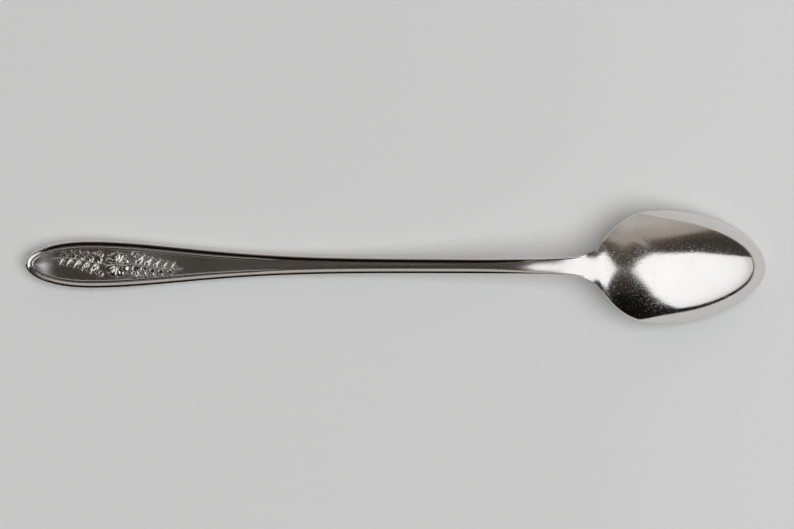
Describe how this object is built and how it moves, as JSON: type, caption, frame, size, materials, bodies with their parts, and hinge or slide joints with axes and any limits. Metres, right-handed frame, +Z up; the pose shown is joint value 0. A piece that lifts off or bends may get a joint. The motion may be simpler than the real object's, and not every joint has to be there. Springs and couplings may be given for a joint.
{
  "type": "iced tea spoon",
  "caption": "Long slim silver-plated spoon with an egg-shaped bowl, a narrow stem and a flat flared handle with a rounded border, a fine inner thread and a leaf relief.",
  "frame": {"origin": "on the surface that the spoon lies on, under the middle of its length and width", "axes": "+X from the handle tip to the bowl tip, +Y across the spoon, +Z up out of the spoon's back, which looks up because the spoon lies face down"},
  "size_m": [0.19, 0.0288, 0.0121],
  "materials": {
    "silver_bowl": "polished silver plate with fine use scratches",
    "silver_shank": "polished silver plate with fine use scratches",
    "silver_panel": "satin silver plate with faint lengthwise grain",
    "silver_border": "polished silver plate, dark in the groove beside it",
    "silver_relief": "silver plate, bright on the high points and dark in the recesses"
  },
  "bodies": {
    "root": {"bowl": "silver_bowl", "neck": "silver_shank", "stem": "silver_shank", "handle": "silver_panel", "back_border": "silver_border", "face_border": "silver_border", "back_thread": "silver_border", "face_thread": "silver_border", "back_spray": "silver_relief", "face_spray": "silver_relief"}
  },
  "joints": []
}
